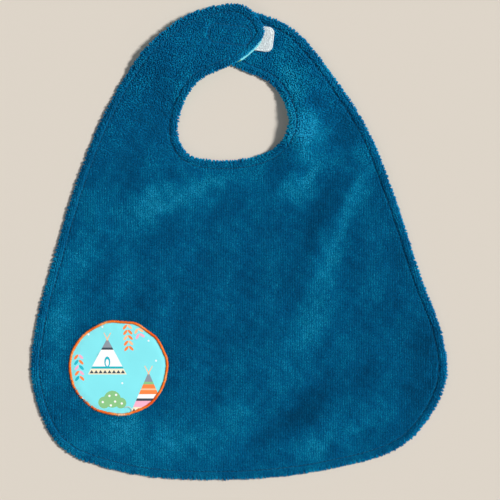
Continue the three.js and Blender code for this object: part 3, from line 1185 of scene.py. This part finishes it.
def make_satin_edge(cloth, centre, radii, patch_top):
    """Close stitches over the patch's edge, thinner at the lower left, and a loose thread end."""
    count = round(math.pi * radii.sum() / SATIN_STEP)
    line = patch_line(centre, radii, count)
    along = unit(np.roll(line, -1, axis=0) - np.roll(line, 1, axis=0))
    out = np.column_stack([along[:, 1], -along[:, 0]])
    turn = np.degrees(np.arctan2(*(line - centre).T[::-1])) % 360
    worn = np.exp(-(((turn - 222) / 26) ** 2))
    keep = random.uniform(size=count) > 0.5 * worn
    line, along, out = line[keep], along[keep], out[keep]
    places = np.linspace(-0.5, 0.5, 7)
    reach = SATIN_WIDTH * random.uniform(0.9, 1.12, len(line))
    shift = random.normal(0, 0.12, len(line))
    steps = reach[:, None] * places + shift[:, None]
    slant = 0.12 * steps + random.normal(0, 0.05, (len(line), 1))
    flat = line[:, None] + out[:, None] * steps[:, :, None] + along[:, None] * slant[:, :, None]
    level = cloth.lie(line)[:, None] + random.normal(0, 0.05, (len(line), 1))
    rise = np.array([2.3, 3.05, 3.4, 3.5, 3.35, 2.85, 1.9])
    paths = np.dstack([flat, level + rise])
    satin = tubes(paths, (0.2, 0.29, 0.31, 0.31, 0.31, 0.29, 0.2), 5, (0, 0, 1.0))
    tints = 0.34 + 0.34 * ripples(line, 16, 12) + random.normal(0, 0.09, len(line))
    tail = loose_end(centre, radii, patch_top)
    points, faces = join(satin, tail)
    tint = np.concatenate([per_tube(tints, 7, 5), np.full(len(tail[0]), 0.95)])
    edge = make_mesh("patch_satin_stitches", points, faces, SATIN, tint=tint)
    return cloth.sew_on(edge, "satin_thread", "applique_satin_edge")


# ---------- the floor, light and camera


def make_stage():
    """A plain pale floor just under the bib."""
    mesh = bpy.data.meshes.new("floor")
    half, height = 3.0, -0.05 * MM
    corners = [(-half, -half), (half, -half), (half, half), (-half, half)]
    mesh.from_pydata([(x, y, height) for x, y in corners], [], [(0, 1, 2, 3)])
    finish = Finish("floor", roughness=0.7, specular=0.2)
    finish.set("Base Color", linear("d6cfc5"))
    mesh.materials.append(finish.material)
    floor = add_object("floor", mesh)
    return floor


def add_light(name, way, spread, strength, colour):
    """Even light from one way, which comes from so many degrees of the sky and so is soft."""
    lamp = bpy.data.lights.new(name, "SUN")
    lamp.angle = math.radians(spread)
    lamp.energy = strength
    lamp.color = colour
    made = add_object(name, lamp)
    made.location = way
    made.rotation_euler = made.location.to_track_quat("Z", "Y").to_euler()


def add_light_and_camera():
    """Soft light from the right, and a camera straight above."""
    add_light("key", (2.6, 0.65, 2.84), spread=13, strength=3.6, colour=(1.0, 0.97, 0.93))
    add_light("fill", (-1.3, -0.9, 1.5), spread=40, strength=0.27, colour=(0.92, 0.96, 1.0))
    world = bpy.data.worlds.new("studio")
    world.use_nodes = True
    back = world.node_tree.nodes["Background"]
    back.inputs["Color"].default_value = (0.95, 0.97, 1.0, 1)
    back.inputs["Strength"].default_value = 0.2
    bpy.context.scene.world = world
    bpy.context.scene.view_settings.view_transform = "Standard"

    middle, height, width = (0.0088, -0.0064), 2.4, 0.4  # of the view, in metres
    camera = bpy.data.cameras.new("camera")
    camera.lens = camera.sensor_width * height / width
    above = add_object("camera", camera)
    above.location = (*middle, height)
    bpy.context.scene.camera = above


# ---------- build

# The CAD nodes that each cloth's two sheets stand for, and those of its topstitching. Their names
# have cotton_, terry_ or topstitch_ before these.
NODES = {
    "chest": (["chest_lower", "chest_upper"], ["hem", "side_left", "side_right"]),
    "left_shoulder": (["left_strap"], ["left_strap_outer", "left_strap_inner", "neck"]),
    "closure_tab": (["closure_tab"], ["closure_tab"]),
    "right_shoulder": (["right_strap"], ["right_strap"]),
}

floor = make_stage()
add_light_and_camera()
cloths = {cloth.name: cloth for cloth in cut_cloth()}
patch_cover, patch_outline, patch, satin = make_patch(cloths["chest"])
loop_outline, loop_pieces = make_loop_tape(cloths["right_shoulder"])
hook_seam, hook_pieces = make_hook_tape(cloths["closure_tab"])
covers = {"chest": [patch_cover], "right_shoulder": [loop_outline]}
seams = {"closure_tab": [hook_seam]}

for name, cloth in cloths.items():
    sheet_nodes, stitch_nodes = NODES[name]
    motifs = print_on(cloth.outline, print_centres(cloth.outline))
    cotton = cloth_sheet(name + "_cotton", cloth, COTTON_TOP, COTTON_UNDER, PRINT,
                         COTTON_ROLL, motifs)
    terry = cloth_sheet(name + "_terry", cloth, TERRY_TOP, TERRY_UNDER, GROUND, TERRY_ROLL)
    cloth.sew_on(cotton, "cotton_print", *("cotton_" + node for node in sheet_nodes))
    cloth.sew_on(terry, "terry", *("terry_" + node for node in sheet_nodes))
    pile = make_pile(cloth, covers.get(name, ()), seams.get(name, ()))
    topstitching = make_topstitching(cloth, ["topstitch_" + node for node in stitch_nodes])
